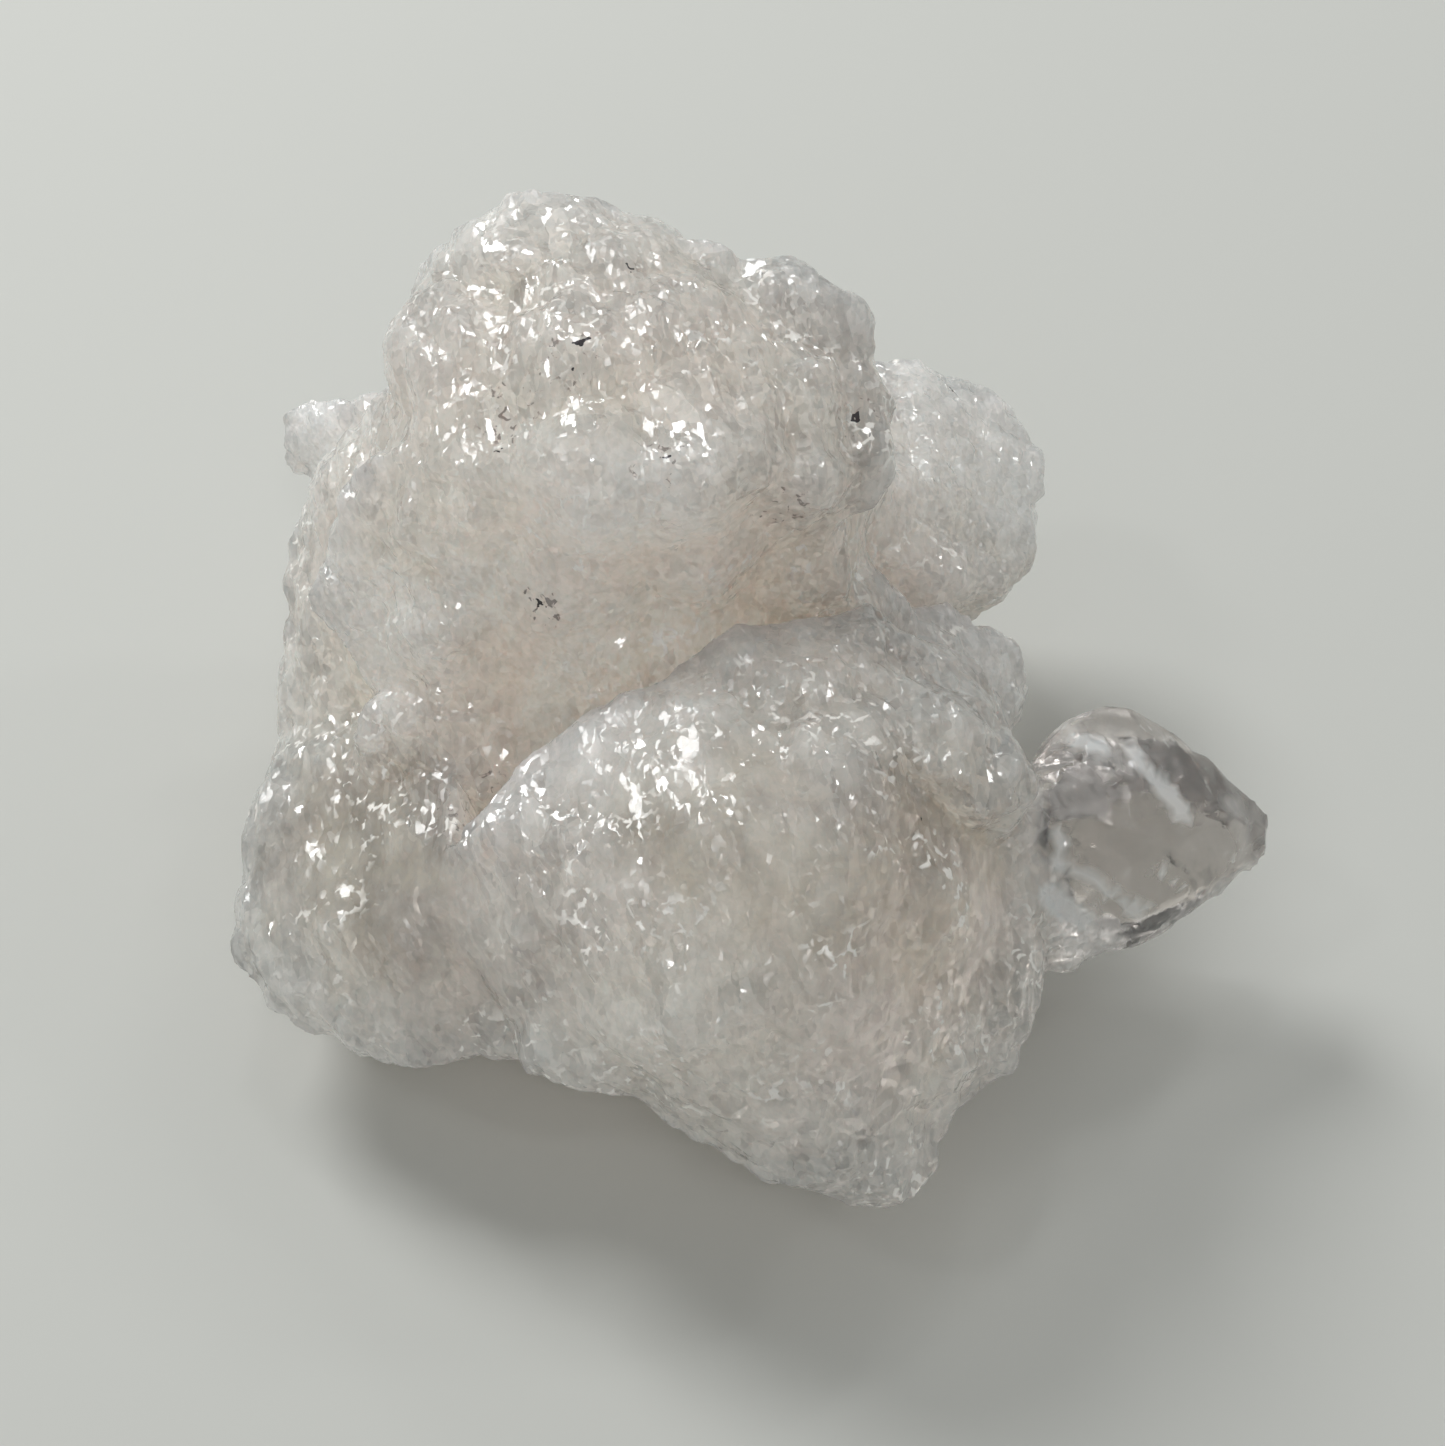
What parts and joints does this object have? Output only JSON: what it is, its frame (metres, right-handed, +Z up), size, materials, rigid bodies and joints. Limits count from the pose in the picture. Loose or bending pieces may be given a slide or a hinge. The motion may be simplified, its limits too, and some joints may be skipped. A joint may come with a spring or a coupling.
{
  "type": "kunzite mineral specimen",
  "caption": "Loose etched kunzite crystal cluster, pale pink and translucent, fused into a single stone that rests on a flat broken face.",
  "frame": {"origin": "centre of the bounding box in plan, in the plane of the flat face that the stone rests on", "axes": "+Z up from the resting face, +X along the stone's length towards the clear tip, +Y towards the tall block's back"},
  "size_m": [0.053, 0.0462, 0.0333],
  "materials": {
    "kunzite": "etched, translucent pale pink crystal with glossy facets"
  },
  "bodies": {
    "root": {"kunzite": "kunzite"}
  },
  "joints": []
}
